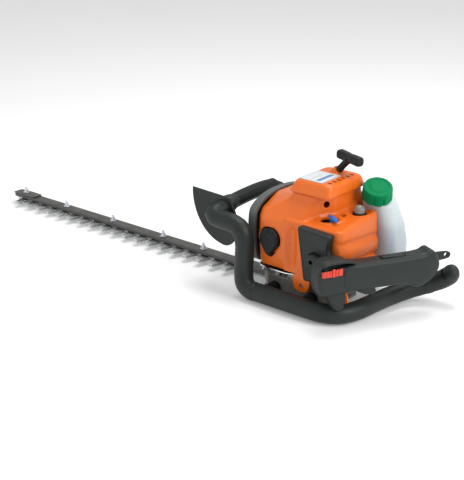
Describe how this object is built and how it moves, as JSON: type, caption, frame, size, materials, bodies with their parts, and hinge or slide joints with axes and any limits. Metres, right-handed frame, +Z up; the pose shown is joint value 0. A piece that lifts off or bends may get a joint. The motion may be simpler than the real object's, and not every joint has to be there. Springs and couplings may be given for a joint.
{
  "type": "petrol hedge trimmer",
  "caption": "Petrol hedge trimmer: two sliding toothed blades under a stiff bar, upright engine with orange covers, fuel tank, ribbed front grip and rear handle.",
  "frame": {"origin": "on the drive gear's axis, in the flat underside of the gear case that stands on the ground", "axes": "+Z up; the cutter bar runs towards -X and its teeth point towards -Y; the rear handle is at +X"},
  "size_m": [0.8734, 0.2262, 0.2185],
  "materials": {
    "cast_alloy": "rough cast, dull grey-brown",
    "ground_steel": "ground bevels, bright",
    "bar_steel": "dark, satin",
    "zinc_steel": "zinc plated",
    "engine_steel": "machined, satin",
    "plug_ceramic": "glazed",
    "black_rubber": "matte",
    "filter_foam": "open foam",
    "orange_plastic": "satin gloss, slightly textured",
    "dark_plastic": "fine grain, satin",
    "blue_plastic": "satin",
    "clear_plastic": "clear, smoky",
    "rope_fibre": "braided",
    "label_silver": "plain printed film",
    "tank_plastic": "translucent, milky",
    "green_plastic": "gloss",
    "red_plastic": "satin"
  },
  "bodies": {
    "machine": {"gear_case_cover": "cast_alloy", "gear_case": "cast_alloy", "guide_bar": "bar_steel", "bar_end_plate": "bar_steel", "bar_bolt_1": "zinc_steel", "bar_nut_1": "zinc_steel", "bar_bolt_2": "zinc_steel", "bar_nut_2": "zinc_steel", "bar_bolt_3": "zinc_steel", "bar_nut_3": "zinc_steel", "bar_bolt_4": "zinc_steel", "bar_nut_4": "zinc_steel", "bar_bolt_5": "zinc_steel", "bar_nut_5": "zinc_steel", "clutch_bell": "cast_alloy", "crankcase": "cast_alloy", "cylinder": "cast_alloy", "spark_plug": "plug_ceramic", "muffler": "engine_steel", "carburettor": "cast_alloy", "air_filter": "filter_foam", "filter_cover": "dark_plastic", "engine_cover": "orange_plastic", "front_cover": "dark_plastic", "starter_housing": "orange_plastic", "label_plate": "label_silver", "fuel_tank": "tank_plastic", "front_loop": "dark_plastic", "ground_frame": "dark_plastic", "grip_sleeve": "black_rubber", "hand_guard": "dark_plastic", "handle_near": "dark_plastic", "handle_far": "dark_plastic", "handle_leg": "dark_plastic", "buffer_spring_1": "black_rubber", "buffer_spring_2": "black_rubber", "buffer_spring_3": "black_rubber"},
    "lower_blade": {"lower_blade": "ground_steel"},
    "upper_blade": {"upper_blade": "ground_steel"},
    "drive_gear": {"drive_gear": "ground_steel"},
    "clutch_drum": {"clutch_drum": "engine_steel"},
    "crank": {"crank_lower": "engine_steel", "crank_upper": "engine_steel", "clutch_shoes": "engine_steel", "flywheel": "cast_alloy"},
    "piston": {"piston": "engine_steel"},
    "connecting_rod": {"connecting_rod": "engine_steel"},
    "starter_pulley": {"starter_pulley": "dark_plastic"},
    "starter_grip": {"starter_grip": "black_rubber", "starter_rope": "rope_fibre"},
    "cap_lift": {"cap_seal": "black_rubber"},
    "fuel_cap": {"fuel_cap": "green_plastic"},
    "choke_lever": {"choke_lever": "blue_plastic"},
    "primer_bulb": {"primer_bulb": "clear_plastic"},
    "plug_boot": {"plug_boot": "black_rubber"},
    "filter_knob": {"filter_knob": "dark_plastic"},
    "throttle_trigger": {"throttle_trigger": "dark_plastic"},
    "throttle_lockout": {"throttle_lockout": "dark_plastic"},
    "stop_switch": {"stop_switch": "red_plastic"}
  },
  "joints": [
    {"name": "gear_spin", "type": "hinge", "parent": "machine", "child": "drive_gear", "pos_m": [0, 0, 0.018], "axis": [0, 0, 1], "continuous": true},
    {"name": "drum_spin", "type": "hinge", "parent": "machine", "child": "clutch_drum", "pos_m": [0.028, 0.021, 0.04], "axis": [0, 0, 1], "continuous": true},
    {"name": "crank_spin", "type": "hinge", "parent": "machine", "child": "crank", "pos_m": [0.028, 0.021, 0.082], "axis": [0, 0, 1], "continuous": true},
    {"name": "piston_slide", "type": "slide", "parent": "machine", "child": "piston", "axis": [-0.6, -0.8, 0], "range_m": [-0.02, 0]},
    {"name": "rod_swing", "type": "hinge", "parent": "piston", "child": "connecting_rod", "pos_m": [-0.0008, -0.0174, 0.082], "axis": [0, 0, 1], "range_deg": [-15, 15]},
    {"name": "upper_blade_slide", "type": "slide", "parent": "machine", "child": "upper_blade", "axis": [1, 0, 0], "range_m": [-0.007, 0.007]},
    {"name": "lower_blade_slide", "type": "slide", "parent": "machine", "child": "lower_blade", "axis": [1, 0, 0], "range_m": [-0.007, 0.007]},
    {"name": "starter_pull", "type": "slide", "parent": "machine", "child": "starter_grip", "axis": [0.6442, 0, 0.7648], "range_m": [0, 0.7]},
    {"name": "pulley_spin", "type": "hinge", "parent": "machine", "child": "starter_pulley", "pos_m": [0.028, 0.021, 0.1545], "axis": [0, 0, 1], "range_deg": [-10, 2600]},
    {"name": "cap_lift_slide", "type": "slide", "parent": "machine", "child": "cap_lift", "axis": [0.2606, -0.3136, 0.9131], "range_m": [0, 0.03]},
    {"name": "cap_turn", "type": "hinge", "parent": "cap_lift", "child": "fuel_cap", "pos_m": [0.085, 0.061, 0.155], "axis": [0.2606, -0.3136, 0.9131], "range_deg": [0, 720]},
    {"name": "choke_turn", "type": "hinge", "parent": "machine", "child": "choke_lever", "pos_m": [0.063, -0.021, 0.13], "axis": [0, 0, 1], "range_deg": [-25, 45]},
    {"name": "primer_press", "type": "slide", "parent": "machine", "child": "primer_bulb", "axis": [0, 0, -1], "range_m": [0, 0.004], "stiffness_N_per_m": 300},
    {"name": "boot_pull", "type": "slide", "parent": "machine", "child": "plug_boot", "axis": [-0.6, -0.8, 0], "range_m": [0, 0.008]},
    {"name": "knob_turn", "type": "hinge", "parent": "machine", "child": "filter_knob", "pos_m": [0.063, -0.06, 0.086], "axis": [0, -1, 0], "range_deg": [0, 720]},
    {"name": "trigger_pull", "type": "hinge", "parent": "machine", "child": "throttle_trigger", "pos_m": [0.11919, -0.0425, 0.062], "axis": [0.8862, -0.4634, 0], "range_deg": [0, 8], "stiffness_Nm_per_rad": 2},
    {"name": "lockout_press", "type": "hinge", "parent": "machine", "child": "throttle_lockout", "pos_m": [0.15441, 0.02484, 0.088], "axis": [0.8862, -0.4634, 0], "range_deg": [0, 5], "stiffness_Nm_per_rad": 2},
    {"name": "stop_slide", "type": "slide", "parent": "machine", "child": "stop_switch", "axis": [0.4634, 0.8862, 0], "range_m": [-0.004, 0.004]}
  ],
  "couplings": [
    {"joint": "drum_spin", "follows": "gear_spin", "ratio": -4.0909},
    {"joint": "lower_blade_slide", "follows": "upper_blade_slide", "ratio": -1},
    {"joint": "pulley_spin", "follows": "starter_pull", "rad_per_m": 62.5}
  ]
}
